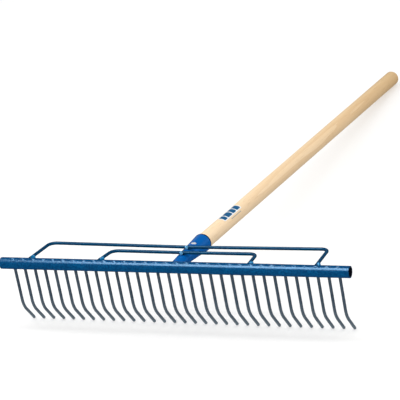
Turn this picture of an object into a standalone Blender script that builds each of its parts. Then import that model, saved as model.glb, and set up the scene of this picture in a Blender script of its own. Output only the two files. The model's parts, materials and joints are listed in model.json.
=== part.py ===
"""Hay rake: a steel tube head with 32 bent wire tines, two bent rod braces, a tapered sheet
socket welded to the tube, and a round ash handle held in the socket by one wood screw.

The rake is modelled in its own tool frame and lies as it rests on the ground, on its tine
tips and on the butt of the handle. Tool frame, in metres: +X along the head tube, +Y along
the handle away from the head, +Z square to both, origin at the middle of the head tube.
"""

from math import atan2, cos, pi, radians, sin

import bmesh
import bpy
from mathutils import Matrix, Vector

# Clearance between pieces that touch.
GAP = 0.0003

# How far a cutter runs past the faces it cuts.
OVERRUN = 0.005

# Head tube, 1/2 inch steel pipe.
TUBE_LENGTH = 0.665
TUBE_DIAMETER = 0.0213
TUBE_WALL = 0.0018
TUBE_SIDES = 32

# Tines, round wire through both walls of the tube, bent once.
TINE_COUNT = 32
TINE_PITCH = 0.020
TINE_ROW_OFFSET = 0.002
TINE_DIAMETER = 0.0055
TINE_STUB = 0.0008
TINE_TILT = radians(9.8)
TINE_STRAIGHT = 0.0735
TINE_BEND_RADIUS = 0.044
TINE_BEND_ANGLE = radians(35.3)
TINE_TIP_LENGTH = 0.036
TINE_BEND_STEPS = 6
TINE_SIDES = 8

# Braces, round rod bent to a flat U, welded to the tube and over the socket. The crossbar
# bows towards the tube by the last value, where it lies on the socket.
BRACE_DIAMETER = 0.006
BRACE_BEND_RADIUS = 0.014
BRACE_BOW_RADIUS = 0.200
BRACE_BEND_STEPS = 6
BRACE_SIDES = 10
BRACE_FOOT_Y = 0.006
BRACE_FOOT_Z = 0.0092
OUTER_REACH = 0.0815
OUTER_FOOT_X = 0.273
OUTER_CORNER_X = 0.2685
OUTER_OFFSET_X = -0.0025
OUTER_BOW = 0.005
INNER_REACH = 0.053
INNER_FOOT_X = 0.143
INNER_CORNER_X = 0.1385
INNER_OFFSET_X = 0.0035
INNER_BOW = 0.0015

# Socket, rolled from sheet: round at its mouth and pressed oval where it meets the tube.
SOCKET_WALL = 0.0020
SOCKET_ROOT_Y = 0.004
SOCKET_ROOT_Z = -0.0037
SOCKET_ROOT_HALF_WIDTH = 0.0105
SOCKET_ROOT_HALF_HEIGHT = 0.0066
SOCKET_MOUTH_Y = 0.147
SOCKET_MOUTH_RADIUS = 0.0171
SOCKET_SIDES = 32

# Handle, round ash, tapered inside the socket.
HANDLE_AXIS_Z = -0.0043
HANDLE_START_Y = 0.036
HANDLE_END_Y = 1.250
HANDLE_END_RADIUS = 0.0152
HANDLE_END_ROUNDING = 0.003

# Wood screw with a pan head, in the hole on the socket's upper side.
SCREW_Y = 0.104
SCREW_TURN = radians(6.5)
SCREW_HEAD_DIAMETER = 0.0100
SCREW_HEAD_HEIGHT = 0.0018
SCREW_RIM_HEIGHT = 0.0007
SCREW_DOME_STEPS = 3
SCREW_SHANK_DIAMETER = 0.005
SCREW_SHANK_LENGTH = 0.020
SCREW_POINT_LENGTH = 0.005
SCREW_SIDES = 24
PILOT_SIDES = 12

# Colour, roughness and metallic value of each finish.
BLUE_PAINT = ((0.0, 0.075, 0.25, 1.0), 0.38, 0.0)
BARE_STEEL = ((0.060, 0.085, 0.11, 1.0), 0.42, 0.8)
ASH_WOOD = ((0.87, 0.66, 0.40, 1.0), 0.55, 0.0)
ZINC = ((0.80, 0.82, 0.84, 1.0), 0.30, 1.0)

# Sides of the cutters that cope rod and sheet to the tube.
COPE_SIDES = 64

# Points of a mesh nearer than this are one point.
MERGE_DISTANCE = 0.00001

# Edges sharper than this stay sharp.
SHARP_ANGLE = radians(35)

TUBE_RADIUS = TUBE_DIAMETER / 2
WIRE_RADIUS = TINE_DIAMETER / 2
BRACE_RADIUS = BRACE_DIAMETER / 2

# Share of a rounding's radius that is cut away halfway round it.
HALFWAY = 1 - cos(pi / 4)


def socket_share(y):
    """How far y is from the socket's root (0) to its mouth (1)."""
    return (y - SOCKET_ROOT_Y) / (SOCKET_MOUTH_Y - SOCKET_ROOT_Y)


def socket_centre(y):
    """Height of the socket's centre line at y."""
    return SOCKET_ROOT_Z + (HANDLE_AXIS_Z - SOCKET_ROOT_Z) * socket_share(y)


def socket_half_width(y):
    """Outer half width of the socket at y."""
    widening = SOCKET_MOUTH_RADIUS - SOCKET_ROOT_HALF_WIDTH
    return SOCKET_ROOT_HALF_WIDTH + widening * socket_share(y)


def socket_half_height(y):
    """Outer half height of the socket at y."""
    heightening = SOCKET_MOUTH_RADIUS - SOCKET_ROOT_HALF_HEIGHT
    return SOCKET_ROOT_HALF_HEIGHT + heightening * socket_share(y)


def socket_top(y):
    """Height of the socket's upper line at y."""
    return socket_centre(y) + socket_half_height(y)


def tine_path(x):
    """Centre line of one tine: a straight run, one bend towards the handle, a straight tip."""
    down = Vector((0, sin(TINE_TILT), -cos(TINE_TILT)))
    inward = Vector((0, cos(TINE_TILT), sin(TINE_TILT)))
    start = Vector((x, 0, 0)) - down * (TUBE_RADIUS + TINE_STUB)
    centre = Vector((x, 0, 0)) + down * TINE_STRAIGHT + inward * TINE_BEND_RADIUS
    points = [start]
    for step in range(TINE_BEND_STEPS + 1):
        angle = TINE_BEND_ANGLE * step / TINE_BEND_STEPS
        points.append(centre + (down * sin(angle) - inward * cos(angle)) * TINE_BEND_RADIUS)
    along = down * cos(TINE_BEND_ANGLE) + inward * sin(TINE_BEND_ANGLE)
    points.append(points[-1] + along * TINE_TIP_LENGTH)
    return points


def rounded_path(corners, radii, steps):
    """The open path through the corners, each inner corner rounded to its own radius."""
    points = [corners[0]]
    for before, corner, after, radius in zip(corners, corners[1:], corners[2:], radii):
        back = (before - corner).normalized()
        ahead = (after - corner).normalized()
        half = back.angle(ahead) / 2
        middle = corner + (back + ahead).normalized() * (radius / sin(half))
        first = corner + back * (radius * cos(half) / sin(half)) - middle
        last = corner + ahead * (radius * cos(half) / sin(half)) - middle
        for step in range(steps + 1):
            turned = first.slerp(last, step / steps)
            points.append(middle + turned.normalized() * radius)
    points.append(corners[-1])
    return points


def ground_tilt():
    """Tilt of the tool frame about X that sets tine tips and handle butt on one level."""
    tip = tine_path(0)[-1]
    slope = TINE_TILT + TINE_BEND_ANGLE
    low_y = tip.y - WIRE_RADIUS * cos(slope)
    low_z = tip.z - WIRE_RADIUS * sin(slope)
    butt_y = HANDLE_END_Y - HANDLE_END_ROUNDING
    butt_z = HANDLE_AXIS_Z - HANDLE_END_RADIUS
    tilt = atan2(butt_z - low_z, butt_y - low_y)
    return tilt, low_y * sin(tilt) - low_z * cos(tilt)


def clear_scene():
    for item in list(bpy.data.objects):
        bpy.data.objects.remove(item)


def new_collection(name):
    collection = bpy.data.collections.new(name)
    bpy.context.scene.collection.children.link(collection)
    return collection


def new_material(name, finish):
    colour, roughness, metallic = finish
    material = bpy.data.materials.new(name)
    material.use_nodes = True
    shader = material.node_tree.nodes["Principled BSDF"]
    shader.inputs["Base Color"].default_value = colour
    shader.inputs["Roughness"].default_value = roughness
    shader.inputs["Metallic"].default_value = metallic
    return material


def add_mesh_object(name, mesh, collection):
    item = bpy.data.objects.new(name, mesh)
    collection.objects.link(item)
    return item


def rod_mesh(name, points, radius, sides):
    """A round rod along the points, closed at both ends, as one welded mesh."""
    curve = bpy.data.curves.new(name, "CURVE")
    curve.dimensions = "3D"
    curve.twist_mode = "Z_UP"
    curve.bevel_depth = radius
    curve.bevel_resolution = (sides - 4) // 2
    curve.use_fill_caps = True
    spline = curve.splines.new("POLY")
    spline.points.add(len(points) - 1)
    for index, point in enumerate(points):
        spline.points[index].co = (*point, 1)
    item = add_mesh_object(name, curve, bpy.context.scene.collection)
    graph = bpy.context.evaluated_depsgraph_get()
    mesh = bpy.data.meshes.new_from_object(item.evaluated_get(graph))
    bpy.data.objects.remove(item)
    bpy.data.curves.remove(curve)
    work = bmesh.new()
    work.from_mesh(mesh)
    bmesh.ops.remove_doubles(work, verts=work.verts, dist=MERGE_DISTANCE)
    bmesh.ops.recalc_face_normals(work, faces=work.faces)
    work.to_mesh(mesh)
    work.free()
    return mesh


def oval_cone_mesh(name, start_y, end_y, inset):
    """The socket's outer shape from start_y to end_y, as a solid, smaller by the inset."""
    middle = Matrix.Translation((0, (start_y + end_y) / 2, 0))
    mesh = bpy.data.meshes.new(name)
    work = bmesh.new()
    bmesh.ops.create_cone(
        work,
        cap_ends=True,
        segments=SOCKET_SIDES,
        radius1=1,
        radius2=1,
        depth=end_y - start_y,
        matrix=middle @ Matrix.Rotation(-pi / 2, 4, "X"),
    )
    for vertex in work.verts:
        y = vertex.co.y
        vertex.co.x *= socket_half_width(y) - inset
        vertex.co.z = socket_centre(y) + vertex.co.z * (socket_half_height(y) - inset)
    work.to_mesh(mesh)
    work.free()
    return mesh


def cylinder_mesh(name, radius, length, sides, places):
    """Equal cylinders along their own Z, one at each placing matrix, in one mesh."""
    mesh = bpy.data.meshes.new(name)
    work = bmesh.new()
    for place in places:
        bmesh.ops.create_cone(
            work,
            cap_ends=True,
            segments=sides,
            radius1=radius,
            radius2=radius,
            depth=length,
            matrix=place,
        )
    work.to_mesh(mesh)
    work.free()
    return mesh


def cut(item, cutter):
    cutter.hide_render = True
    cutter.display_type = "WIRE"
    cutter.parent = item.parent
    boolean = item.modifiers.new(cutter.name, "BOOLEAN")
    boolean.operation = "DIFFERENCE"
    boolean.solver = "EXACT"
    boolean.object = cutter


def shade(item):
    item.data.shade_smooth()
    item.data.set_sharp_from_angle(angle=SHARP_ANGLE)


def tine_places():
    """X of each tine along the head tube."""
    middle = (TINE_COUNT - 1) / 2
    return [(index - middle) * TINE_PITCH + TINE_ROW_OFFSET for index in range(TINE_COUNT)]


def make_head_tube(parts, cutters, frame):
    along_x = Matrix.Rotation(pi / 2, 4, "Y")
    tube = add_mesh_object(
        "head_tube",
        cylinder_mesh("head_tube", TUBE_RADIUS, TUBE_LENGTH, TUBE_SIDES, [along_x]),
        parts,
    )
    tube.parent = frame
    bore_radius = TUBE_RADIUS - TUBE_WALL
    bore_length = TUBE_LENGTH + 2 * OVERRUN
    bore = add_mesh_object(
        "tube_bore",
        cylinder_mesh("tube_bore", bore_radius, bore_length, TUBE_SIDES, [along_x]),
        cutters,
    )
    cut(tube, bore)
    hole_radius = (WIRE_RADIUS + GAP) / cos(pi / TINE_SIDES)
    lean = Matrix.Rotation(TINE_TILT, 4, "X")
    places = [Matrix.Translation((x, 0, 0)) @ lean for x in tine_places()]
    hole_length = TUBE_DIAMETER + 2 * OVERRUN
    holes = add_mesh_object(
        "tine_holes",
        cylinder_mesh("tine_holes", hole_radius, hole_length, TINE_SIDES, places),
        cutters,
    )
    cut(tube, holes)
    tube.data.materials.append(new_material("tube_paint", BLUE_PAINT))
    shade(tube)


def make_tines(parts, frame):
    mesh = rod_mesh("tine", tine_path(0), WIRE_RADIUS, TINE_SIDES)
    mesh.materials.append(new_material("tine_steel", BARE_STEEL))
    for number, x in enumerate(tine_places(), start=1):
        tine = add_mesh_object(f"tine_{number:02d}", mesh, parts)
        tine.location.x = x
        tine.parent = frame
        shade(tine)


def make_brace(name, reach, foot_x, corner_x, offset_x, bow, parts, cutters, frame):
    """A U of rod: its crossbar lies on the socket and its feet are coped to the tube."""
    bar_z = socket_top(reach) + GAP + BRACE_RADIUS
    middle_z = socket_top(reach - bow) + GAP + BRACE_RADIUS
    corners = [
        Vector((offset_x - foot_x, BRACE_FOOT_Y, BRACE_FOOT_Z)),
        Vector((offset_x - corner_x, reach, bar_z)),
        Vector((0, reach - bow, middle_z)),
        Vector((offset_x + corner_x, reach, bar_z)),
        Vector((offset_x + foot_x, BRACE_FOOT_Y, BRACE_FOOT_Z)),
    ]
    radii = (BRACE_BEND_RADIUS, BRACE_BOW_RADIUS, BRACE_BEND_RADIUS)
    path = rounded_path(corners, radii, BRACE_BEND_STEPS)
    brace = add_mesh_object(name, rod_mesh(name, path, BRACE_RADIUS, BRACE_SIDES), parts)
    brace.parent = frame
    along_x = Matrix.Rotation(pi / 2, 4, "Y")
    cope = add_mesh_object(
        name + "_cope",
        cylinder_mesh(name + "_cope", TUBE_RADIUS + GAP, TUBE_LENGTH, COPE_SIDES, [along_x]),
        cutters,
    )
    cut(brace, cope)
    brace.data.materials.append(new_material(name + "_paint", BLUE_PAINT))
    shade(brace)


def screw_matrix(shift):
    """Placing matrix square to the handle's surface under the screw, shifted outward by shift."""
    outward = Vector((sin(SCREW_TURN), 0, cos(SCREW_TURN)))
    half_height = socket_half_height(SCREW_Y) - SOCKET_WALL - GAP
    seat = Vector((0, SCREW_Y, socket_centre(SCREW_Y))) + outward * half_height
    rise = socket_top(SOCKET_MOUTH_Y) - socket_top(SOCKET_ROOT_Y)
    lean = Matrix.Rotation(atan2(rise, SOCKET_MOUTH_Y - SOCKET_ROOT_Y), 4, "X")
    turn = Matrix.Rotation(SCREW_TURN, 4, "Y")
    return Matrix.Translation(seat) @ turn @ lean @ Matrix.Translation((0, 0, shift))


def make_socket(parts, cutters, frame):
    mesh = oval_cone_mesh("socket", SOCKET_ROOT_Y, SOCKET_MOUTH_Y, 0)
    socket = add_mesh_object("socket", mesh, parts)
    socket.parent = frame
    ends = (SOCKET_ROOT_Y - OVERRUN, SOCKET_MOUTH_Y + OVERRUN)
    mesh = oval_cone_mesh("socket_bore", *ends, SOCKET_WALL)
    cut(socket, add_mesh_object("socket_bore", mesh, cutters))
    along_x = Matrix.Rotation(pi / 2, 4, "Y")
    mesh = cylinder_mesh("socket_cope", TUBE_RADIUS + GAP, TUBE_LENGTH, COPE_SIDES, [along_x])
    cut(socket, add_mesh_object("socket_cope", mesh, cutters))
    hole_radius = SCREW_HEAD_DIAMETER / 2 + GAP
    hole_depth = 4 * SOCKET_WALL
    mesh = cylinder_mesh("socket_hole", hole_radius, hole_depth, SCREW_SIDES, [screw_matrix(0)])
    cut(socket, add_mesh_object("socket_hole", mesh, cutters))
    socket.data.materials.append(new_material("socket_paint", BLUE_PAINT))
    shade(socket)


def make_handle(parts, cutters, frame):
    """The round shaft, joined to the oval tapered end that fills the socket."""
    mouth = SOCKET_MOUTH_Y
    rounding = HANDLE_END_ROUNDING
    rings = (
        (mouth, SOCKET_MOUTH_RADIUS - SOCKET_WALL - GAP),
        (HANDLE_END_Y - rounding, HANDLE_END_RADIUS),
        (HANDLE_END_Y - rounding * HALFWAY, HANDLE_END_RADIUS - rounding * HALFWAY),
        (HANDLE_END_Y, HANDLE_END_RADIUS - rounding),
    )
    work = bmesh.new()
    work.from_mesh(oval_cone_mesh("handle", HANDLE_START_Y, mouth, SOCKET_WALL + GAP))
    end = max(work.faces, key=lambda face: face.calc_center_median().y)
    for (before, radius), (after, next_radius) in zip(rings, rings[1:]):
        end = bmesh.ops.extrude_discrete_faces(work, faces=[end])["faces"][0]
        bmesh.ops.translate(work, verts=end.verts, vec=(0, after - before, 0))
        middle = Matrix.Translation((0, -after, -HANDLE_AXIS_Z))
        narrowing = (next_radius / radius, 1, next_radius / radius)
        bmesh.ops.scale(work, verts=end.verts, vec=narrowing, space=middle)
    mesh = bpy.data.meshes.new("handle")
    work.to_mesh(mesh)
    work.free()
    handle = add_mesh_object("handle", mesh, parts)
    handle.parent = frame
    pilot_radius = SCREW_SHANK_DIAMETER / 2 + GAP
    pilot_length = 2 * (SCREW_SHANK_LENGTH + GAP)
    mesh = cylinder_mesh("pilot_hole", pilot_radius, pilot_length, PILOT_SIDES, [screw_matrix(0)])
    cut(handle, add_mesh_object("pilot_hole", mesh, cutters))
    handle.data.materials.append(new_material("handle_ash", ASH_WOOD))
    shade(handle)


def make_screw(parts, frame):
    """The screw as a turned profile: domed head, flat seat, shank, point."""
    head = SCREW_HEAD_DIAMETER / 2
    shank = SCREW_SHANK_DIAMETER / 2
    dome_height = SCREW_HEAD_HEIGHT - SCREW_RIM_HEIGHT
    turns = [pi / 2 * step / SCREW_DOME_STEPS for step in range(SCREW_DOME_STEPS + 1)]
    profile = [(head * sin(turn), SCREW_RIM_HEIGHT + dome_height * cos(turn)) for turn in turns]
    profile += [(head, 0), (shank, 0), (shank, SCREW_POINT_LENGTH - SCREW_SHANK_LENGTH)]
    profile += [(0, -SCREW_SHANK_LENGTH)]
    mesh = bpy.data.meshes.new("handle_screw")
    work = bmesh.new()
    line = [work.verts.new((radius, 0, height)) for radius, height in profile]
    for first, second in zip(line, line[1:]):
        work.edges.new((first, second))
    work.to_mesh(mesh)
    work.free()
    screw = add_mesh_object("handle_screw", mesh, parts)
    turning = screw.modifiers.new("turning", "SCREW")
    turning.axis = "Z"
    turning.angle = 2 * pi
    turning.steps = SCREW_SIDES
    turning.render_steps = SCREW_SIDES
    turning.use_merge_vertices = True
    turning.merge_threshold = MERGE_DISTANCE
    turning.use_smooth_shade = True
    screw.matrix_local = screw_matrix(GAP)
    screw.parent = frame
    screw.data.materials.append(new_material("screw_zinc", ZINC))


def place_on_ground(frame):
    """Lays the tool frame on the ground, with the origin under the middle of the rake."""
    tilt, height = ground_tilt()
    front = -TUBE_RADIUS
    butt_top = HANDLE_AXIS_Z + HANDLE_END_RADIUS
    butt_y = HANDLE_END_Y - HANDLE_END_ROUNDING * HALFWAY
    back = butt_y * cos(tilt) + butt_top * sin(tilt)
    frame.location = (0, -(front + back) / 2, height)
    frame.rotation_euler = (-tilt, 0, 0)


def main():
    clear_scene()
    parts = new_collection("hay_rake")
    cutters = new_collection("cutters")
    frame = bpy.data.objects.new("tool_frame", None)
    parts.objects.link(frame)
    place_on_ground(frame)
    make_head_tube(parts, cutters, frame)
    make_tines(parts, frame)
    outer = (OUTER_REACH, OUTER_FOOT_X, OUTER_CORNER_X, OUTER_OFFSET_X, OUTER_BOW)
    inner = (INNER_REACH, INNER_FOOT_X, INNER_CORNER_X, INNER_OFFSET_X, INNER_BOW)
    make_brace("outer_brace", *outer, parts, cutters, frame)
    make_brace("inner_brace", *inner, parts, cutters, frame)
    make_socket(parts, cutters, frame)
    make_handle(parts, cutters, frame)
    make_screw(parts, frame)


main()
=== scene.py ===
"""Looks of the hay rake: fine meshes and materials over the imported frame, a pale floor, soft
studio light and the camera.

The pieces are modelled in the rake's own tool frame, in metres: origin at the middle of the
head tube, +X along it, +Y along the handle away from the head. TOOL carries that frame into
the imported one, where the rake lies on its tine tips and on the butt of its handle.
"""

import json
from math import atan2, cos, hypot, pi, radians, sin, sqrt, tau

import bmesh
import bpy
from mathutils import Matrix, Quaternion, Vector, noise


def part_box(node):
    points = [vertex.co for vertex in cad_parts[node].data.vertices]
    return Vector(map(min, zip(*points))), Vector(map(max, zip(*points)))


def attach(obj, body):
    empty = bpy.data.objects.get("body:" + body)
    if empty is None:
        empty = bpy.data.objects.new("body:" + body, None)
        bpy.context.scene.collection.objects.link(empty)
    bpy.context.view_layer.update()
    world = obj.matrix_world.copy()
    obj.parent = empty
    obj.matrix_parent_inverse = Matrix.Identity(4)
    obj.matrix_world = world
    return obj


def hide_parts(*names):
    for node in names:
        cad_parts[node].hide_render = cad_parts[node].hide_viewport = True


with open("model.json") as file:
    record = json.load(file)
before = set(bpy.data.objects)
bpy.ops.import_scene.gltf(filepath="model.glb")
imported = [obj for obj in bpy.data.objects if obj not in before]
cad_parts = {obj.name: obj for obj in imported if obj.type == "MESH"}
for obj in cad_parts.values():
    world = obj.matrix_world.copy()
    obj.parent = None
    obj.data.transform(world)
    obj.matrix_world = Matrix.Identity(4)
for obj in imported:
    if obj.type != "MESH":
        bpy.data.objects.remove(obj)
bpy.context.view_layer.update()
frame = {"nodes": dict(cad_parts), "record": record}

# Head tube. Its ring of points is dense where the welds are, in degrees from +Z towards -Y.
TUBE_WALL = 0.0018
TUBE_RIM = 0.0004
TUBE_RIM_STEPS = 5
TUBE_STEP = 0.0008
TUBE_BORE_STEPS = 60
DENSE_START = -28
DENSE_STEP = 2.5
DENSE_POINTS = 34
PLAIN_STEPS = 42

# Welds on the tube, one over each tine.
WELD_TURN = radians(18)
WELD_HALF_LENGTH = 0.0047
WELD_HALF_WIDTH = 0.0040
WELD_HEIGHT = 0.0014
WELD_SHIFT = 0.0009
WELD_REACH = 1.6
WELD_LENGTH_SPREAD = 0.25
WELD_HEIGHT_SPREAD = 0.30
WELD_DOME_POWER = 1.4
WELD_RIPPLE = 0.16
WELD_RIPPLE_SCALE = 380
WELD_CRATER = 0.12
WELD_CRATER_WAVES = 9

# Tines.
TINE_COUNT = 32
TINE_RADIUS = 0.00275
TINE_TILT = radians(9.8)
TINE_STRAIGHT = 0.0735
TINE_BEND_RADIUS = 0.044
TINE_BEND_ANGLE = radians(35.3)
TINE_TIP_LENGTH = 0.036
TINE_TIP_ROUNDING = 0.0007
TINE_TIP_STEPS = 5
TINE_STEP = 0.004
TINE_SIDES = 20

# Braces. Reach and bow lie along Y, the feet and corners half a width from the middle along X.
BRACE_RADIUS = 0.003
BRACE_BEND_RADIUS = 0.014
BRACE_BOW_RADIUS = 0.200
BRACE_SUNK_Y = 0.001
BRACE_FOOT_Y = 0.006
BRACE_FOOT_Z = 0.0092
BRACE_GAP = 0.0003
BRACE_STEP = 0.006
BRACE_SIDES = 28
OUTER = {"reach": 0.0815, "foot": 0.273, "corner": 0.2685, "offset": -0.0025, "bow": 0.005}
INNER = {"reach": 0.053, "foot": 0.143, "corner": 0.1385, "offset": 0.0035, "bow": 0.0015}

BEND_STEPS = 20

# Weld metal: a ball and a skirt at each brace foot, placed from the foot on the left (-1) or the
# right (1), two blobs at each crossbar, placed from the socket's upper line, and the root's bead.
BALLS = {-1: Vector((0.0064, -0.0022, 0.0022)), 1: Vector((0.0036, -0.0014, 0.0005))}
BALL_SIZE = (0.0041, 0.0041, 0.0041)
SKIRTS = {-1: Vector((0.0028, 0.0, 0.0)), 1: Vector((0.0014, 0.0, 0.0))}
SKIRT_SIZE = (0.0046, 0.0040, 0.0026)
BEHIND_BAR = Vector((0, 0.0030, 0.0008))
BEHIND_BAR_SIZE = (0.0046, 0.0026, 0.0020)
BEFORE_BAR = Vector((0.0001, -0.0034, 0.0031))
BEFORE_BAR_SIZE = (0.0030, 0.0030, 0.0042)
LUMP_UNEVEN = 0.22
LUMP_RIPPLE = 0.035
LUMP_GRAIN = 0.03
ROOT_WELD_RADIUS = 0.0021
ROOT_WELD_SCALLOPS = 9
ROOT_WELD_SCALLOP = 0.14
ROOT_WELD_UNEVEN = 0.25
ROOT_WELD_STEPS = 220
ROOT_WELD_SIDES = 14

# Socket.
SOCKET_WALL = 0.0020
SOCKET_ROOT_Y = 0.004
SOCKET_ROOT_Z = -0.0037
SOCKET_ROOT_HALF_WIDTH = 0.0105
SOCKET_ROOT_HALF_HEIGHT = 0.0066
SOCKET_MOUTH_Y = 0.147
SOCKET_MOUTH_RADIUS = 0.0171
SOCKET_TURNS = 108
SOCKET_OUTER_STEPS = 90
SOCKET_RIM_STEPS = 8
SOCKET_INNER_STEPS = 40
SEAM_HALF_TURN = 0.018
SEAM_DEPTH = 0.0004

# Handle.
HANDLE_AXIS_Z = -0.0043
HANDLE_START_Y = 0.036
HANDLE_END_Y = 1.250
HANDLE_END_RADIUS = 0.0152
HANDLE_ROUNDING = 0.003
HANDLE_GAP = 0.0003
HANDLE_WOBBLE = 0.00025
HANDLE_SIDES = 112
HANDLE_SOCKET_STEPS = 24
HANDLE_STEPS = 160
HANDLE_ROUNDING_STEPS = 8

# Printed mark: its start and lengths along the handle, and its turns round it from +X.
PRINT_START = 0.238
PRINT_BARS = (0.014, 0.021, 0.016, 0.017)
PRINT_TURNS = radians(52), radians(102)
PRINT_GAP = 0.003
PRINT_CORNER = 0.0022
PRINT_RISE = 0.00016
BACKING_LENGTH = 0.080
BACKING_TURN = 0.12
BACKING_CORNER = 0.003
BACKING_RISE = 0.00008
LINE_SPAN = 0.022, 0.070
LINE_TURNS = radians(27), radians(33)
LINE_CORNER = 0.0006
LINE_RISE = 0.0001
PATCH_CORNER_STEPS = 6
PATCH_STRIPS = 14

# Screw.
SCREW_Y = 0.104
SCREW_TURN = radians(6.5)
SCREW_HEAD_RADIUS = 0.0050
SCREW_HEAD_HEIGHT = 0.0018
SCREW_RIM_HEIGHT = 0.0007
SCREW_EDGE = 0.0003
SCREW_DOME_STEPS = 14
SCREW_SIDES = 72
SHANK_RADIUS = 0.0025
SHANK_LENGTH = 0.015
POINT_RADIUS = 0.0008
POINT_REACH = 0.0197
RECESS_SIZE = Vector((0.0044, 0.0010, 0.0026))
RECESS_FLOOR_SHARE = 0.45
RECESS_LIFT = 0.0002
RECESS_TURN = radians(30)
HOLE_REACH = -0.003, 0.006
HOLE_SIDES = 64

# Camera: the point it looks at, its distance, and its angles.
CAMERA_AIM = Vector((0.0474, -0.5588, 0.2312))
CAMERA_DISTANCE = 4.6
CAMERA_AZIMUTH = radians(24.616)
CAMERA_ELEVATION = radians(21.393)
CAMERA_ROLL = radians(-8.608)
CAMERA_LENS = 236.75
CAMERA_SENSOR = 36
CAMERA_CLIP_END = 60

# Studio: soft boxes, the floor, the even fill and what reflections see instead of it.
STRIP = {"place": (0, -0.62, 2.05), "aim": (0, -0.62, 0), "size": (2.6, 0.30), "power": 12}
CARD = {"place": (-0.5, -1.30, 2.0), "aim": (-0.5, -0.62, 0), "size": (1.4, 1.4), "power": 82}
LEFT_KEY = {"place": (-1.4, -0.2, 1.3), "aim": (0, -0.5, 0.1), "size": (0.25, 0.25), "power": 2.5}
FLOOR_SIZE = 30
FLOOR_GLOW = 0.42
FLOOR_GREYS = (0.54, 0.54, 0.54, 1), (0.56, 0.56, 0.56, 1)
FILL_STRENGTH = 0.92
FILL_BELOW = (0.72, 0.73, 0.75, 1)
FILL_BEHIND = (0.86, 0.86, 0.86, 1)
FILL_BEFORE = (1.44, 1.43, 1.40, 1)
DARK_ROOM = (0.04, 0.05, 0.06, 1)
BACKDROP = (0.26, 0.31, 0.38, 1)
WHITE = (1, 1, 1, 1)

# Paints: the deep and the light tone, the roughness, and the depth of the orange peel.
PAINTS = {
    "head_paint": ((0, 0.036, 0.118, 1), (0.001, 0.090, 0.245, 1), 0.165, 0.00013),
    "brace_paint": ((0, 0.034, 0.090, 1), (0.0005, 0.056, 0.140, 1), 0.20, 0.00006),
    # Paler than the head paint: a painted highlight on the weld balls at the brace feet.
    "weld_paint": ((0.002, 0.125, 0.300, 1), (0.010, 0.210, 0.460, 1), 0.18, 0.00004),
    # Paler still: a painted highlight for the glints on the crossbar welds.
    "weld_highlight_paint": ((0.070, 0.270, 0.460, 1), (0.180, 0.460, 0.740, 1), 0.18, 0.00004),
    "socket_paint": ((0, 0.096, 0.375, 1), (0.001, 0.123, 0.455, 1), 0.14, 0.00003),
}
PAINT_SHEEN = (0.38, 0.70, 1.0, 1)
# Painted shade round the socket's mouth, and a painted highlight on unpainted steel at its very
# edge.
PAINTED_RIM_SHADE = (0, 0.018, 0.055, 1)
EDGE_HIGHLIGHT_GREY = (0.42, 0.47, 0.52, 1)
# Painted shade inside the tube's bore.
PAINTED_BORE_SHADE = (0.004, 0.006, 0.012, 1)

# Wood: the early and the late growth, the pores, and the tints down the handle.
EARLY_WOOD = (0.930, 0.705, 0.455, 1), (0.965, 0.755, 0.515, 1)
LATE_WOOD = (0.800, 0.560, 0.320, 1)
WOOD_PORES = (0.50, 0.33, 0.18, 1)
# Tints that make the handle darker and warmer towards the butt, and greyer over its last stretch.
FAR_END_TINT = (0.86, 0.78, 0.64, 1)
BUTT_END_TINT = (0.86, 0.84, 0.78, 1)

# Metals, each from its darker to its paler tone.
DARK_STEEL = (0.052, 0.082, 0.118, 1), (0.080, 0.118, 0.164, 1)
# The tine tips' paler tone is a painted highlight.
TIP_HIGHLIGHT_STEEL = (0.165, 0.210, 0.250, 1), (0.225, 0.280, 0.335, 1)
ZINC = (0.84, 0.85, 0.86, 1), (0.95, 0.96, 0.97, 1)

# Inks of the printed mark.
BLUE_INK = (0, 0.095, 0.240, 1)
WHITE_INK = (0.85, 0.87, 0.88, 1)
GREY_INK = (0.40, 0.40, 0.38, 1)


def tool_matrix():
    """The tool frame's place: the head tube's middle and the direction of the handle's axis."""
    low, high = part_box("head_tube")
    butt = next(m for m in frame["record"]["mounts"] if m["name"] == "butt_end")
    along = Vector(butt["axis"]).normalized()
    across = Vector((1, 0, 0))
    matrix = Matrix((across, along, across.cross(along))).transposed().to_4x4()
    matrix.translation = (low + high) / 2
    return matrix


TOOL = tool_matrix()


def tool_box(node):
    """Lowest and highest corner of a CAD node in the tool frame."""
    to_tool = TOOL.inverted()
    points = [to_tool @ vertex.co for vertex in frame["nodes"][node].data.vertices]
    return Vector(map(min, zip(*points))), Vector(map(max, zip(*points)))


TUBE_LOW, TUBE_HIGH = tool_box("head_tube")
TUBE_RADIUS = (TUBE_HIGH.z - TUBE_LOW.z) / 2
TUBE_HALF = (TUBE_HIGH.x - TUBE_LOW.x) / 2


# ---------------------------------------------------------------- mesh helpers


def skin(name, rings, loop=False):
    """A mesh through equal rings of points, capped at its ends or joined into a loop."""
    count = len(rings[0])
    points = [point for ring in rings for point in ring]
    steps = list(zip(range(len(rings) - 1), range(1, len(rings))))
    if loop:
        steps.append((len(rings) - 1, 0))
    faces = []
    for first, second in steps:
        for side in range(count):
            after = (side + 1) % count
            face = (first, side), (first, after), (second, after), (second, side)
            faces.append([ring * count + corner for ring, corner in face])
    if not loop:
        faces.append(list(range(count)))
        faces.append(list(range(len(points) - count, len(points))))
    mesh = bpy.data.meshes.new(name)
    mesh.from_pydata([tuple(point) for point in points], [], faces)
    work = bmesh.new()
    work.from_mesh(mesh)
    bmesh.ops.recalc_face_normals(work, faces=work.faces)
    work.to_mesh(mesh)
    work.free()
    return mesh


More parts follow.
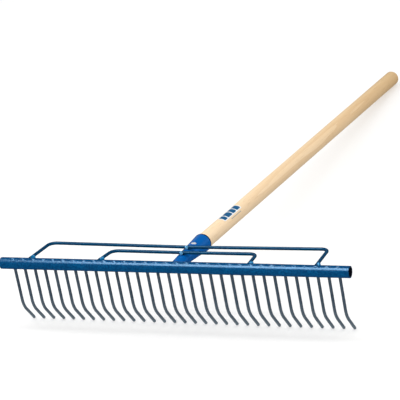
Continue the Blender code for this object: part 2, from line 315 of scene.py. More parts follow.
def sweep(name, path, radii, sides):
    """A round rod along a path, with its own radius at each point."""
    rings = []
    normal = None
    for index, point in enumerate(path):
        before = path[max(index - 1, 0)]
        after = path[min(index + 1, len(path) - 1)]
        along = (after - before).normalized()
        if normal is None:
            normal = along.orthogonal()
        normal = (normal - along * normal.dot(along)).normalized()
        side = along.cross(normal)
        radius = radii[index]
        ring = []
        for step in range(sides):
            turn = tau * step / sides
            ring.append(point + (normal * cos(turn) + side * sin(turn)) * radius)
        rings.append(ring)
    return skin(name, rings)


def quarter_turns(steps):
    """Turns from 0 to a right angle."""
    return [pi / 2 * step / steps for step in range(steps + 1)]


def evenly(start, end, step):
    """Points along a straight line, no further apart than the step."""
    count = max(1, round((end - start).length / step))
    return [start.lerp(end, index / count) for index in range(count)]


def rounded_path(corners, radii):
    """The open path through the corners, each inner corner rounded to its own radius."""
    points = [corners[0]]
    for before, corner, after, radius in zip(corners, corners[1:], corners[2:], radii):
        back = (before - corner).normalized()
        ahead = (after - corner).normalized()
        half = back.angle(ahead) / 2
        middle = corner + (back + ahead).normalized() * (radius / sin(half))
        first = corner + back * (radius * cos(half) / sin(half)) - middle
        last = corner + ahead * (radius * cos(half) / sin(half)) - middle
        for step in range(BEND_STEPS + 1):
            spoke = first.slerp(last, step / BEND_STEPS)
            points.append(middle + spoke.normalized() * radius)
    points.append(corners[-1])
    return points


def join(name, meshes):
    """Several meshes as one."""
    work = bmesh.new()
    for mesh in meshes:
        work.from_mesh(mesh)
    joined = bpy.data.meshes.new(name)
    work.to_mesh(joined)
    work.free()
    return joined


def put(name, mesh, material, slot, *nodes, sharp=radians(40)):
    """Places a piece made in the tool frame on the root body, and hides the CAD nodes it stands
    for.
    """
    mesh.shade_smooth()
    mesh.set_sharp_from_angle(angle=sharp)
    mesh.materials.append(material)
    piece = bpy.data.objects.new(name, mesh)
    bpy.context.scene.collection.objects.link(piece)
    piece.matrix_world = TOOL
    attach(piece, "root")
    if nodes:
        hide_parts(*nodes)


# ---------------------------------------------------------------- materials


def node(tree, kind, inputs=None, **settings):
    """A shader node with its settings, and each input linked to a socket or set to a value."""
    made = tree.nodes.new("ShaderNode" + kind)
    for name, value in settings.items():
        setattr(made, name, value)
    for name, value in (inputs or {}).items():
        if isinstance(value, bpy.types.NodeSocket):
            tree.links.new(value, made.inputs[name])
        else:
            made.inputs[name].default_value = value
    return made


def material_with(name, roughness, metallic=0.0, specular=0.5):
    """A material, its node tree, its shader, and the place on the piece in the tool frame."""
    material = bpy.data.materials.new(name)
    material.use_nodes = True
    tree = material.node_tree
    shader = tree.nodes["Principled BSDF"]
    shader.inputs["Roughness"].default_value = roughness
    shader.inputs["Metallic"].default_value = metallic
    shader.inputs["Specular IOR Level"].default_value = specular
    place = node(tree, "TexCoord").outputs["Object"]
    return material, tree, shader, place


def spots(tree, place, scale, detail, stretch=(1, 1, 1)):
    """Noise from 0 to 1, with features about 1 / scale metres wide, stretched along the axes."""
    mapped = node(tree, "Mapping", {"Vector": place, "Scale": stretch}).outputs["Vector"]
    inputs = {"Vector": mapped, "Scale": scale, "Detail": detail}
    return node(tree, "TexNoise", inputs).outputs["Fac"]


def spread(tree, value, low, high, to_low=0.0, to_high=1.0):
    """The value mapped from low..high to to_low..to_high, and clamped."""
    inputs = {"Value": value, "From Min": low, "From Max": high}
    inputs |= {"To Min": to_low, "To Max": to_high}
    return node(tree, "MapRange", inputs).outputs["Result"]


def blend(tree, share, first, second, kind="MIX"):
    """A colour between two colours or sockets, or their product."""
    mix = node(tree, "Mix", data_type="RGBA", blend_type=kind, clamp_factor=True)
    for socket, value in zip((mix.inputs[0], mix.inputs[6], mix.inputs[7]), (share, first, second)):
        if isinstance(value, bpy.types.NodeSocket):
            tree.links.new(value, socket)
        else:
            socket.default_value = value
    return mix.outputs[2]


def relief(tree, shader, *layers):
    """Stacked bumps, each a height socket and its depth in metres."""
    normal = None
    for height, depth in layers:
        inputs = {"Height": height, "Distance": depth, "Strength": 1.0}
        if normal:
            inputs["Normal"] = normal
        normal = node(tree, "Bump", inputs).outputs["Normal"]
    tree.links.new(normal, shader.inputs["Normal"])


def paint_material(name, specular=0.5, rim=False, bore=False):
    """Stoved blue paint: small colour specks, a drifting tone, orange peel and dust nibs.
    With a rim, a band of painted shade darkens the socket's mouth, and its very edge is pale:
    unpainted cut steel with a painted highlight.
    With a bore, the inside of the pipe is near black: painted shade, darker than unpainted steel."""
    deep, light, roughness, grain = PAINTS[name]
    material, tree, shader, place = material_with(name, roughness, specular=specular)
    shader.inputs["Specular Tint"].default_value = PAINT_SHEEN
    specks = spots(tree, place, 420, 3)
    drift = spots(tree, place, 45, 2)
    nibs = spots(tree, place, 900, 1)
    tone = blend(tree, spread(tree, specks, 0.35, 0.68), deep, light)
    shaded = blend(tree, spread(tree, drift, 0.35, 0.7, 0.0, 0.35), tone, deep)
    # Painted shade: the inside of the pipe near black, darker than unpainted steel.
    if bore:
        flat = node(tree, "Mapping", {"Vector": place, "Scale": (0, 1, 1)}).outputs["Vector"]
        out = node(tree, "VectorMath", {0: flat}, operation="LENGTH").outputs["Value"]
        inner = TUBE_RADIUS - TUBE_WALL
        inside = spread(tree, out, inner + 0.0001, inner + 0.0003, 1.0, 0.0)
        shaded = blend(tree, inside, shaded, PAINTED_BORE_SHADE)
    # Painted shade: a dark band round the socket's mouth. Painted highlight with unpainted cut
    # steel: a pale grey line on the rim's very edge.
    if rim:
        along = node(tree, "SeparateXYZ", {"Vector": place}).outputs["Y"]
        rim_shade = spread(tree, along, SOCKET_MOUTH_Y - 0.0048, SOCKET_MOUTH_Y - 0.0032)
        edge_highlight = spread(tree, along, SOCKET_MOUTH_Y - 0.0004, SOCKET_MOUTH_Y - 0.0002)
        shaded = blend(tree, rim_shade, shaded, PAINTED_RIM_SHADE)
        shaded = blend(tree, edge_highlight, shaded, EDGE_HIGHLIGHT_GREY)
    tree.links.new(shaded, shader.inputs["Base Color"])
    rough = spread(tree, drift, 0.3, 0.7, roughness * 0.85, roughness * 1.2)
    tree.links.new(rough, shader.inputs["Roughness"])
    relief(tree, shader, (specks, grain), (spread(tree, nibs, 0.62, 0.75), grain * 0.6))
    return material


def steel_material():
    """Dark drawn wire: fine draw lines along the wire, oil tone, and paler tips as a painted
    highlight.
    """
    material, tree, shader, place = material_with("tine_wire_steel", 0.42, metallic=0.30)
    lines = spots(tree, place, 700, 2, (1, 1, 0.04))
    tone = spots(tree, place, 60, 3)
    height = node(tree, "SeparateXYZ", {"Vector": place}).outputs["Z"]
    # Painted highlight: the wire turns paler towards its bent-out tips.
    tip_highlight = spread(tree, height, -0.060, -0.120)
    dark = blend(tree, spread(tree, tone, 0.3, 0.7), *DARK_STEEL)
    pale = blend(tree, spread(tree, lines, 0.35, 0.65), *TIP_HIGHLIGHT_STEEL)
    colour = blend(tree, tip_highlight, dark, pale)
    tree.links.new(colour, shader.inputs["Base Color"])
    rough = spread(tree, lines, 0.3, 0.7, 0.34, 0.52)
    tree.links.new(rough, shader.inputs["Roughness"])
    relief(tree, shader, (lines, 0.00006), (tone, 0.0001))
    return material


def wood_material():
    """Ash: growth bands drawn out along the handle, open pores, a thin clear coat."""
    material, tree, shader, place = material_with("handle_ash_grain", 0.46, specular=0.3)
    shader.inputs["Coat Weight"].default_value = 0.08
    shader.inputs["Coat Roughness"].default_value = 0.25
    stretched = node(tree, "Mapping", {"Vector": place, "Scale": (1, 0.035, 1)}).outputs["Vector"]
    sway = node(tree, "TexNoise", {"Vector": stretched, "Scale": 45, "Detail": 2}).outputs["Color"]
    shift = node(tree, "VectorMath", {0: sway, "Scale": 0.010}, operation="SCALE").outputs[0]
    swayed = node(tree, "VectorMath", {0: stretched, 1: shift}, operation="ADD").outputs[0]
    bands = node(
        tree,
        "TexWave",
        {"Vector": swayed, "Scale": 46, "Distortion": 1.5, "Detail": 2},
        wave_type="RINGS",
        rings_direction="Y",
        wave_profile="SAW",
    ).outputs["Fac"]
    pores = spots(tree, place, 1500, 2, (1, 0.02, 1))
    cloud = spots(tree, place, 14, 2, (1, 0.3, 1))
    early = blend(tree, spread(tree, cloud, 0.3, 0.7), *EARLY_WOOD)
    banded = blend(tree, spread(tree, bands, 0.55, 1.0, 0.0, 0.55), early, LATE_WOOD)
    pored = spread(tree, pores, 0.60, 0.72, 0.0, 0.45)
    grained = blend(tree, pored, banded, WOOD_PORES)
    along = node(tree, "SeparateXYZ", {"Vector": place}).outputs["Y"]
    # Darker and warmer towards the butt, and greyer over its last stretch.
    far_tint = blend(tree, spread(tree, along, 0.15, 1.25), WHITE, FAR_END_TINT)
    butt_tint = blend(tree, spread(tree, along, 0.90, 1.25), WHITE, BUTT_END_TINT)
    toned = blend(tree, 1.0, grained, far_tint, "MULTIPLY")
    colour = blend(tree, 1.0, toned, butt_tint, "MULTIPLY")
    tree.links.new(colour, shader.inputs["Base Color"])
    rough = spread(tree, pores, 0.4, 0.7, 0.42, 0.62)
    tree.links.new(rough, shader.inputs["Roughness"])
    relief(tree, shader, (bands, 0.00004), (pores, -0.00008))
    return material


def zinc_material():
    """Zinc plate: fine flakes, some paler and rougher than others."""
    material, tree, shader, place = material_with("screw_zinc_plate", 0.30, metallic=0.4)
    flakes = spots(tree, place, 1400, 2)
    colour = blend(tree, spread(tree, flakes, 0.3, 0.7), *ZINC)
    tree.links.new(colour, shader.inputs["Base Color"])
    rough = spread(tree, flakes, 0.3, 0.7, 0.24, 0.38)
    tree.links.new(rough, shader.inputs["Roughness"])
    relief(tree, shader, (flakes, 0.00003))
    return material


def ink_material(name, colour):
    """Printed ink, a little paler where it is worn."""
    material, tree, shader, place = material_with(name, 0.45, specular=0.2)
    wear = spots(tree, place, 900, 3)
    pale = [channel + (1 - channel) * 0.25 for channel in colour[:3]] + [1]
    printed = blend(tree, spread(tree, wear, 0.55, 0.75, 0.0, 0.3), colour, pale)
    tree.links.new(printed, shader.inputs["Base Color"])
    relief(tree, shader, (wear, 0.00002))
    return material


# ---------------------------------------------------------------- shapes of the rake


def socket_share(y):
    """How far y is from the socket's root (0) to its mouth (1)."""
    return (y - SOCKET_ROOT_Y) / (SOCKET_MOUTH_Y - SOCKET_ROOT_Y)


def socket_centre(y):
    return SOCKET_ROOT_Z + (HANDLE_AXIS_Z - SOCKET_ROOT_Z) * socket_share(y)


def socket_half_width(y):
    widening = SOCKET_MOUTH_RADIUS - SOCKET_ROOT_HALF_WIDTH
    return SOCKET_ROOT_HALF_WIDTH + widening * socket_share(y)


def socket_half_height(y):
    heightening = SOCKET_MOUTH_RADIUS - SOCKET_ROOT_HALF_HEIGHT
    return SOCKET_ROOT_HALF_HEIGHT + heightening * socket_share(y)


def socket_point(y, turn, inset=0.0):
    """A point of the socket's surface, the turn counted from +X towards +Z."""
    x = cos(turn) * (socket_half_width(y) - inset)
    z = socket_centre(y) + sin(turn) * (socket_half_height(y) - inset)
    return Vector((x, y, z))


def socket_root(turn, inset=0.0):
    """Y where the socket's surface meets the head tube."""
    y = SOCKET_ROOT_Y
    for _ in range(4):
        z = socket_point(y, turn, inset).z
        y = sqrt(max(TUBE_RADIUS**2 - z**2, 0))
    return y


def tine_x(number):
    low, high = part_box(f"tine_{number:02d}")
    return (low.x + high.x) / 2


def weld_seed(number):
    """A place of its own in the noise for each tine weld."""
    return Vector((number * 7.31, number * 3.77, 1.9))


def weld_rise(x, turn, xs):
    """Height of the tine welds over the tube's surface, the turn counted from +Z towards -Y."""
    rise = 0.0
    for number, centre in enumerate(xs):
        if abs(x - centre) > WELD_REACH * WELD_HALF_LENGTH:
            continue
        seed = weld_seed(number)
        shift = [WELD_SHIFT * noise.noise(seed * scale) for scale in (3.1, 4.3)]
        half_length = WELD_HALF_LENGTH * (1 + WELD_LENGTH_SPREAD * noise.noise(seed * 1.7))
        along = (x - centre - shift[0]) / half_length
        across = ((turn - WELD_TURN) * TUBE_RADIUS - shift[1]) / WELD_HALF_WIDTH
        on_tube = Vector((x, turn * TUBE_RADIUS, 0))
        ripple = noise.noise(on_tube * WELD_RIPPLE_SCALE + seed)
        reach = hypot(along, across) * (1 + WELD_RIPPLE * ripple)
        if reach < 1:
            height = WELD_HEIGHT * (1 + WELD_HEIGHT_SPREAD * noise.noise(seed * 2.3))
            crater = 1 - WELD_CRATER * cos(along * WELD_CRATER_WAVES + seed.x)
            rise = max(rise, height * (1 - reach**2) ** WELD_DOME_POWER * crater)
    return rise


def make_tube(paint):
    """The pipe, open at both ends, with a lump of weld where each tine comes through."""
    dense = [radians(DENSE_START + DENSE_STEP * step) for step in range(DENSE_POINTS)]
    rest = tau - (dense[-1] - dense[0])
    plain = [dense[-1] + rest * step / PLAIN_STEPS for step in range(1, PLAIN_STEPS)]
    turns = dense + plain
    xs = [tine_x(number) for number in range(1, TINE_COUNT + 1)]

    def ring(x, radius, welded):
        points = []
        for turn in turns:
            rise = weld_rise(x, turn, xs) if welded and turn <= dense[-1] else 0.0
            reach = radius + rise
            points.append(Vector((x, -sin(turn) * reach, cos(turn) * reach)))
        return points

    rings = []
    count = round(2 * (TUBE_HALF - TUBE_RIM) / TUBE_STEP)
    for turn in quarter_turns(TUBE_RIM_STEPS)[:-1]:
        x = -TUBE_HALF + TUBE_RIM * (1 - sin(turn))
        rings.append(ring(x, TUBE_RADIUS - TUBE_RIM * (1 - cos(pi / 2 - turn)), False))
    for step in range(count + 1):
        x = (TUBE_HALF - TUBE_RIM) * (2 * step / count - 1)
        rings.append(ring(x, TUBE_RADIUS, True))
    for turn in quarter_turns(TUBE_RIM_STEPS)[1:]:
        x = TUBE_HALF - TUBE_RIM * (1 - sin(turn))
        rings.append(ring(x, TUBE_RADIUS - TUBE_RIM * (1 - cos(turn)), False))
    bore = TUBE_RADIUS - TUBE_WALL
    for step in range(TUBE_BORE_STEPS + 1):
        x = TUBE_HALF * (1 - 2 * step / TUBE_BORE_STEPS)
        rings.append(ring(x, bore, False))
    mesh = skin("head_tube_pipe", rings, loop=True)
    put("head_tube_pipe", mesh, paint, "blue_paint", "head_tube")


def tine_path(x):
    """The wire's centre line from the top of the tube to the tip, and the tip's direction."""
    down = Vector((0, sin(TINE_TILT), -cos(TINE_TILT)))
    inward = Vector((0, cos(TINE_TILT), sin(TINE_TILT)))
    middle = Vector((x, 0, 0))
    centre = middle + down * TINE_STRAIGHT + inward * TINE_BEND_RADIUS
    points = evenly(middle - down * TUBE_RADIUS, middle + down * TINE_STRAIGHT, TINE_STEP)
    for step in range(BEND_STEPS):
        angle = TINE_BEND_ANGLE * step / BEND_STEPS
        points.append(centre + (down * sin(angle) - inward * cos(angle)) * TINE_BEND_RADIUS)
    turned_out = down * sin(TINE_BEND_ANGLE) - inward * cos(TINE_BEND_ANGLE)
    bend_end = centre + turned_out * TINE_BEND_RADIUS
    along = down * cos(TINE_BEND_ANGLE) + inward * sin(TINE_BEND_ANGLE)
    tip = bend_end + along * TINE_TIP_LENGTH
    return points + evenly(bend_end, tip, TINE_STEP), tip, along


def make_tines(steel):
    """Each tine as one bent wire with a cropped, slightly rounded tip."""
    for number in range(1, TINE_COUNT + 1):
        path, tip, along = tine_path(tine_x(number))
        radii = [TINE_RADIUS] * len(path)
        for turn in quarter_turns(TINE_TIP_STEPS):
            path.append(tip - along * TINE_TIP_ROUNDING * (1 - sin(turn)))
            radii.append(TINE_RADIUS - TINE_TIP_ROUNDING * (1 - cos(turn)))
        mesh = sweep(f"tine_wire_{number:02d}", path, radii, TINE_SIDES)
        put(f"tine_wire_{number:02d}", mesh, steel, "tine_steel", f"tine_{number:02d}")


def bar_height(reach):
    """Height of a crossbar's axis that clears the socket's upper line."""
    return socket_centre(reach) + socket_half_height(reach) + BRACE_GAP + BRACE_RADIUS


def make_brace(name, brace, paint, node_name):
    """A U of rod whose feet run onto the shoulder of the tube."""
    offset = brace["offset"]
    height = bar_height(brace["reach"])
    middle = brace["reach"] - brace["bow"]
    corners = [
        Vector((offset - brace["foot"], BRACE_SUNK_Y, BRACE_FOOT_Z)),
        Vector((offset - brace["corner"], brace["reach"], height)),
        Vector((0, middle, bar_height(middle))),
        Vector((offset + brace["corner"], brace["reach"], height)),
        Vector((offset + brace["foot"], BRACE_SUNK_Y, BRACE_FOOT_Z)),
    ]
    radii = (BRACE_BEND_RADIUS, BRACE_BOW_RADIUS, BRACE_BEND_RADIUS)
    bent = rounded_path(corners, radii)
    path = []
    for start, end in zip(bent, bent[1:]):
        path += evenly(start, end, BRACE_STEP)
    path.append(bent[-1])
    radii = [BRACE_RADIUS] * len(path)
    put(name, sweep(name, path, radii, BRACE_SIDES), paint, "blue_paint", node_name)


def lump(centre, size, seed):
    """A blob of weld metal: a flattened ball with frozen ripples and an uneven outline."""
    work = bmesh.new()
    bmesh.ops.create_icosphere(work, subdivisions=5, radius=1)
    offset = Vector((seed * 5.3, seed * 2.9, seed * 8.1))
    for vertex in work.verts:
        direction = vertex.co.normalized()
        uneven = LUMP_UNEVEN * noise.noise(direction * 1.3 + offset)
        ripple = LUMP_RIPPLE * sin(11 * direction.x + 5 * direction.y + seed)
        grain = LUMP_GRAIN * noise.noise(direction * 7 + offset)
        reach = direction * (1 + uneven + ripple + grain)
        vertex.co = centre + reach * Vector(size)
    mesh = bpy.data.meshes.new("lump")
    work.to_mesh(mesh)
    work.free()
    return mesh


def make_foot_welds(paint):
    """A skirt of weld round each brace foot and a ball of weld beside it."""
    meshes = []
    for seed, (brace, side) in enumerate(((OUTER, -1), (OUTER, 1), (INNER, -1), (INNER, 1))):
        foot = Vector((brace["offset"] + side * brace["foot"], BRACE_FOOT_Y, BRACE_FOOT_Z))
        meshes.append(lump(foot + SKIRTS[side], SKIRT_SIZE, seed + 0.4))
        meshes.append(lump(foot + BALLS[side], BALL_SIZE, seed + 5.2))
    put("weld_feet", join("weld_feet", meshes), paint, "blue_paint")


def make_bar_welds(paint):
    """Blobs that hold the crossbars to the socket's upper line."""
    meshes = []
    for seed, brace in enumerate((OUTER, INNER)):
        y = brace["reach"] - brace["bow"]
        top = Vector((0, y, socket_centre(y) + socket_half_height(y)))
        meshes.append(lump(top + BEHIND_BAR, BEHIND_BAR_SIZE, seed + 2.3))
        meshes.append(lump(top + BEFORE_BAR, BEFORE_BAR_SIZE, seed + 9.1))
    put("weld_bars", join("weld_bars", meshes), paint, "blue_paint")


def make_root_weld(paint):
    """A bead all round the socket where it meets the tube."""
    ahead = 0.02
    rings = []
    for step in range(ROOT_WELD_STEPS):
        turn = tau * step / ROOT_WELD_STEPS
        here = socket_point(socket_root(turn), turn)
        there = socket_point(socket_root(turn + ahead), turn + ahead)
        along = (there - here).normalized()
        outward = Vector((0, here.y, here.z)).normalized()
        side = along.cross(outward).normalized()
        scallop = ROOT_WELD_SCALLOP * abs(sin(turn * ROOT_WELD_SCALLOPS))
        uneven = ROOT_WELD_UNEVEN * noise.noise(here * 300)
        radius = ROOT_WELD_RADIUS * (0.95 + scallop + uneven)
        ring = []
        for corner in range(ROOT_WELD_SIDES):
            angle = tau * corner / ROOT_WELD_SIDES
            ring.append(here + (outward * cos(angle) + side * sin(angle)) * radius)
        rings.append(ring)
    put("weld_root", skin("weld_root", rings, loop=True), paint, "socket_paint")


def screw_matrix():
    """Placing matrix square to the handle's surface under the screw."""
    outward = Vector((sin(SCREW_TURN), 0, cos(SCREW_TURN)))
    half_height = socket_half_height(SCREW_Y) - SOCKET_WALL - HANDLE_GAP
    seat = Vector((0, SCREW_Y, socket_centre(SCREW_Y))) + outward * half_height
    top = [socket_centre(y) + socket_half_height(y) for y in (SOCKET_ROOT_Y, SOCKET_MOUTH_Y)]
    lean = Matrix.Rotation(atan2(top[1] - top[0], SOCKET_MOUTH_Y - SOCKET_ROOT_Y), 4, "X")
    return Matrix.Translation(seat) @ Matrix.Rotation(SCREW_TURN, 4, "Y") @ lean


def cut_away(mesh, cutter_mesh):
    """The mesh with another cut away from it."""
    item = bpy.data.objects.new("item", mesh)
    cutter = bpy.data.objects.new("cutter", cutter_mesh)
    for thing in (item, cutter):
        bpy.context.scene.collection.objects.link(thing)
    modifier = item.modifiers.new("cut", "BOOLEAN")
    modifier.operation = "DIFFERENCE"
    modifier.solver = "EXACT"
    modifier.object = cutter
    graph = bpy.context.evaluated_depsgraph_get()
    result = bpy.data.meshes.new_from_object(item.evaluated_get(graph))
    bpy.data.objects.remove(item)
    bpy.data.objects.remove(cutter)
    return result


def turned(name, profile, sides):
    """A turned piece about its own Z, from a profile of (radius, height) pairs."""
    rings = []
    for radius, height in profile:
        ring = []
        for step in range(sides):
            turn = tau * step / sides
            ring.append(Vector((radius * cos(turn), radius * sin(turn), height)))
        rings.append(ring)
    return skin(name, rings)


def make_socket(paint):
    """Rolled sheet: oval where it meets the tube, round at its rolled rim, seam underneath."""
    seam = -pi / 2
    start = seam + SEAM_HALF_TURN
    whole = tau - 2 * SEAM_HALF_TURN
    turns = [seam - SEAM_HALF_TURN, seam, start]
    turns += [start + whole * step / SOCKET_TURNS for step in range(1, SOCKET_TURNS)]
    rim = SOCKET_WALL / 2
    outer, inner = SOCKET_OUTER_STEPS, SOCKET_INNER_STEPS
    section = [(step / outer, 0.0, 0.0) for step in range(outer + 1)]
    for step in range(1, SOCKET_RIM_STEPS):
        angle = pi * step / SOCKET_RIM_STEPS
        section.append((1.0, rim * (1 - cos(angle)), sin(angle)))
    section += [(1 - step / inner, SOCKET_WALL, 0.0) for step in range(inner + 1)]
    rings = []
    for share, inset, crown in section:
        ring = []
        for index, turn in enumerate(turns):
            root = socket_root(turn, inset)
            mouth = SOCKET_MOUTH_Y - rim
            y = root + (mouth - root) * share + rim * crown
            depth = SEAM_DEPTH if index == 1 and inset == 0 else 0.0
            ring.append(socket_point(y, turn, inset + depth))
        rings.append(ring)
    mesh = skin("socket_sheet", rings, loop=True)
    hole_radius = SCREW_HEAD_RADIUS + HANDLE_GAP
    hole = turned("hole", [(hole_radius, height) for height in HOLE_REACH], HOLE_SIDES)
    hole.transform(screw_matrix())
    mesh = cut_away(mesh, hole)
    put("socket_sheet", mesh, paint, "socket_paint", "socket")


def handle_radius(y):
    """The shaft's radius outside the socket, where it widens a little towards the butt."""
    start = SOCKET_MOUTH_RADIUS - SOCKET_WALL - HANDLE_GAP
    share = (y - SOCKET_MOUTH_Y) / (HANDLE_END_Y - SOCKET_MOUTH_Y)
    return start + (HANDLE_END_RADIUS - start) * share


def make_handle(wood):
    """The turned shaft, oval and tapered in the socket, with an eased edge at the butt."""
    turns = [tau * side / HANDLE_SIDES for side in range(HANDLE_SIDES)]
    rings = []
    inset = SOCKET_WALL + HANDLE_GAP
    for step in range(HANDLE_SOCKET_STEPS):
        sunk = (SOCKET_MOUTH_Y - HANDLE_START_Y) * step / HANDLE_SOCKET_STEPS
        rings.append([socket_point(HANDLE_START_Y + sunk, turn, inset) for turn in turns])

    def ring(y, radius):
        points = []
        for turn in turns:
            direction = Vector((cos(turn), 0, sin(turn)))
            place = direction * 2 + Vector((0, y * 6, 0))
            reach = radius - HANDLE_WOBBLE * (0.5 + 0.5 * noise.noise(place))
            points.append(Vector((0, y, HANDLE_AXIS_Z)) + direction * reach)
        return points

    shoulder = HANDLE_END_Y - HANDLE_ROUNDING
    for step in range(HANDLE_STEPS + 1):
        y = SOCKET_MOUTH_Y + (shoulder - SOCKET_MOUTH_Y) * step / HANDLE_STEPS
        rings.append(ring(y, handle_radius(y)))
    for turn in quarter_turns(HANDLE_ROUNDING_STEPS)[1:]:
        y = shoulder + HANDLE_ROUNDING * sin(turn)
        rings.append(ring(y, HANDLE_END_RADIUS - HANDLE_ROUNDING * (1 - cos(turn))))
    put("handle_shaft", skin("handle_shaft", rings), wood, "ash_wood", "handle")


def patch(y_from, y_to, turn_from, turn_to, rise, corner):
    """A thin sheet on the handle's surface with rounded corners, the turn counted from +X."""
    outline = []
    width = (turn_to - turn_from) * handle_radius(y_from)
    for quarter, (y, s) in enumerate(((1, 1), (0, 1), (0, 0), (1, 0))):
        for step in range(PATCH_CORNER_STEPS + 1):
            angle = pi / 2 * (quarter + step / PATCH_CORNER_STEPS)
            v = corner + (width - 2 * corner) * s + corner * sin(angle)
            u = corner + (y_to - y_from - 2 * corner) * y + corner * cos(angle)
            outline.append((u, v))
    work = bmesh.new()
    corners = [work.verts.new((u, v, 0)) for u, v in outline]
    work.faces.new(corners)
    for step in range(1, PATCH_STRIPS):
        cut = (0, width * step / PATCH_STRIPS, 0)
        whole = work.faces[:] + work.edges[:] + work.verts[:]
        bmesh.ops.bisect_plane(work, geom=whole, plane_co=cut, plane_no=(0, 1, 0))
    for vertex in work.verts:
        y = y_from + vertex.co.x
        turn = turn_from + vertex.co.y / handle_radius(y_from)
        reach = handle_radius(y) + rise
        vertex.co = (reach * cos(turn), y, HANDLE_AXIS_Z + reach * sin(turn))
    mesh = bpy.data.meshes.new("patch")
    work.to_mesh(mesh)
    work.free()
    return mesh


def make_print():
    """A generic printed mark on the handle: plain blue bars on white, and a thin grey line."""
    blue = ink_material("print_blue_ink", BLUE_INK)
    white = ink_material("print_white_ink", WHITE_INK)
    grey = ink_material("print_grey_ink", GREY_INK)
    low, high = PRINT_TURNS
    span = PRINT_START - PRINT_GAP, PRINT_START + BACKING_LENGTH
    backing = patch(*span, low - BACKING_TURN, high + BACKING_TURN, BACKING_RISE, BACKING_CORNER)
    bars = []
    y = PRINT_START
    for length in PRINT_BARS:
        bars.append(patch(y, y + length, low, high, PRINT_RISE, PRINT_CORNER))
        y += length + PRINT_GAP
    span = [PRINT_START + end for end in LINE_SPAN]
    line = patch(*span, *LINE_TURNS, LINE_RISE, LINE_CORNER)
    put("print_backing", join("print_backing", [backing]), white, "ash_wood")
    put("print_bars", join("print_bars", bars), blue, "blue_paint")
    put("print_line", join("print_line", [line]), grey, "ash_wood")


def make_screw(zinc):
    """Pan head with a cross recess, and a plain shank with a blunt point."""
    head = SCREW_HEAD_RADIUS
    dome = SCREW_HEAD_HEIGHT - SCREW_RIM_HEIGHT
    profile = []
    for turn in quarter_turns(SCREW_DOME_STEPS)[1:]:
        profile.append((head * sin(turn), SCREW_RIM_HEIGHT + dome * cos(turn)))
    profile += [(head, SCREW_EDGE), (head - SCREW_EDGE, 0.0), (SHANK_RADIUS, 0.0)]
    profile += [(SHANK_RADIUS, -SHANK_LENGTH), (POINT_RADIUS, -POINT_REACH)]
    mesh = turned("fixing_screw", profile, SCREW_SIDES)
    for quarter in range(2):
        work = bmesh.new()
        bmesh.ops.create_cube(work, size=1)
        for vertex in work.verts:
            taper = 1.0 if vertex.co.z > 0 else RECESS_FLOOR_SHARE
            vertex.co.x *= RECESS_SIZE.x * taper
            vertex.co.y *= RECESS_SIZE.y * taper
            vertex.co.z = vertex.co.z * RECESS_SIZE.z + SCREW_HEAD_HEIGHT + RECESS_LIFT
        turn = Matrix.Rotation(RECESS_TURN + quarter * pi / 2, 4, "Z")
        bmesh.ops.transform(work, matrix=turn, verts=work.verts)
        arm = bpy.data.meshes.new("arm")
        work.to_mesh(arm)
        work.free()
        mesh = cut_away(mesh, arm)
    lift = Matrix.Translation((0, 0, HANDLE_GAP))
    mesh.transform(screw_matrix() @ lift)
    put("fixing_screw", mesh, zinc, "zinc", "handle_screw", sharp=radians(30))


# ---------------------------------------------------------------- stage


def make_floor():
    """A pale floor that glows a little and is left out of bounced light and reflections."""
    material, tree, shader, place = material_with("floor_white", 0.9, specular=0.1)
    tone = spots(tree, place, 1.5, 2)
    colour = blend(tree, tone, *FLOOR_GREYS)
    shader.inputs["Emission Color"].default_value = WHITE
    shader.inputs["Emission Strength"].default_value = FLOOR_GLOW
    tree.links.new(colour, shader.inputs["Base Color"])
    mesh = bpy.data.meshes.new("floor")
    work = bmesh.new()
    bmesh.ops.create_grid(work, x_segments=1, y_segments=1, size=FLOOR_SIZE)
    work.to_mesh(mesh)
    work.free()
    mesh.materials.append(material)
    floor = bpy.data.objects.new("floor", mesh)
    bpy.context.scene.collection.objects.link(floor)
    floor.visible_diffuse = False
    floor.visible_glossy = False


def make_light(name, box, only_seen=False):
    """A soft box; one that is only seen adds a reflection and no other light."""
    light = bpy.data.lights.new(name, "AREA")
    light.shape = "RECTANGLE"
    light.size, light.size_y = box["size"]
    light.energy = box["power"]
    item = bpy.data.objects.new(name, light)
    item.location = box["place"]
    item.rotation_mode = "QUATERNION"
    item.rotation_quaternion = (Vector(box["aim"]) - item.location).to_track_quat("-Z", "Y")
    item.visible_diffuse = not only_seen
    bpy.context.scene.collection.objects.link(item)


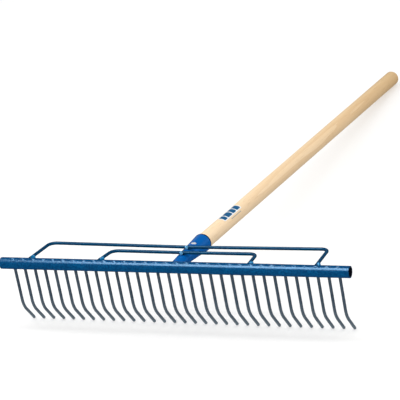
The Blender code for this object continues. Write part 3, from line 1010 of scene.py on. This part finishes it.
def make_world():
    """An even white fill, while reflections see a dark room with a low, pale backdrop behind."""
    world = bpy.data.worlds.new("studio")
    bpy.context.scene.world = world
    world.use_nodes = True
    tree = world.node_tree
    background = tree.nodes["Background"]
    direction = node(tree, "TexCoord").outputs["Generated"]
    split = node(tree, "SeparateXYZ", {"Vector": direction}).outputs
    level = blend(tree, spread(tree, split["Z"], -0.4, 0.4), FILL_BELOW, WHITE)
    before = spread(tree, split["Y"], -0.7, 0.5, 1.0, 0.0)
    facing = blend(tree, before, FILL_BEHIND, FILL_BEFORE)
    fill = blend(tree, 1.0, level, facing, "MULTIPLY")
    behind = spread(tree, split["Y"], -0.25, 0.55)
    above = spread(tree, split["Z"], -0.10, 0.10)
    below = spread(tree, split["Z"], 0.20, 0.42, 1.0, 0.0)
    band = node(tree, "Math", {0: behind, 1: above}, operation="MULTIPLY").outputs["Value"]
    band = node(tree, "Math", {0: band, 1: below}, operation="MULTIPLY").outputs["Value"]
    seen = blend(tree, band, DARK_ROOM, BACKDROP)
    glossy = node(tree, "LightPath").outputs["Is Glossy Ray"]
    tree.links.new(blend(tree, glossy, fill, seen), background.inputs["Color"])
    background.inputs["Strength"].default_value = FILL_STRENGTH
    world.cycles.sampling_method = "NONE"


def make_camera():
    """The photo's camera, level before its roll."""
    camera = bpy.data.cameras.new("camera")
    camera.lens = CAMERA_LENS
    camera.sensor_width = CAMERA_SENSOR
    camera.clip_end = CAMERA_CLIP_END
    level = cos(CAMERA_ELEVATION)
    away = Vector((-sin(CAMERA_AZIMUTH), cos(CAMERA_AZIMUTH), 0))
    forward = away * level - Vector((0, 0, sin(CAMERA_ELEVATION)))
    item = bpy.data.objects.new("camera", camera)
    item.location = CAMERA_AIM - forward * CAMERA_DISTANCE
    item.rotation_mode = "QUATERNION"
    roll = Quaternion((0, 0, 1), CAMERA_ROLL)
    item.rotation_quaternion = forward.to_track_quat("-Z", "Y") @ roll
    bpy.context.scene.collection.objects.link(item)
    bpy.context.scene.camera = item


def main():
    brace_paint = paint_material("brace_paint", specular=0.22)
    socket_paint = paint_material("socket_paint", rim=True)
    make_tube(paint_material("head_paint", bore=True))
    make_tines(steel_material())
    make_brace("outer_brace_rod", OUTER, brace_paint, "outer_brace")
    make_brace("inner_brace_rod", INNER, brace_paint, "inner_brace")
    # Foot welds in a paler paint than the tube: painted highlight.
    make_foot_welds(paint_material("weld_paint", specular=0.8))
    # Crossbar welds in the palest paint: painted highlight.
    make_bar_welds(paint_material("weld_highlight_paint", specular=0.8))
    make_root_weld(socket_paint)
    make_socket(socket_paint)
    make_handle(wood_material())
    make_print()
    make_screw(zinc_material())
    make_floor()
    make_world()
    make_light("overhead_strip", STRIP)
    make_light("overhead_card", CARD, only_seen=True)
    make_light("left_key", LEFT_KEY)
    make_camera()
    bpy.context.scene.view_settings.view_transform = "Standard"


main()
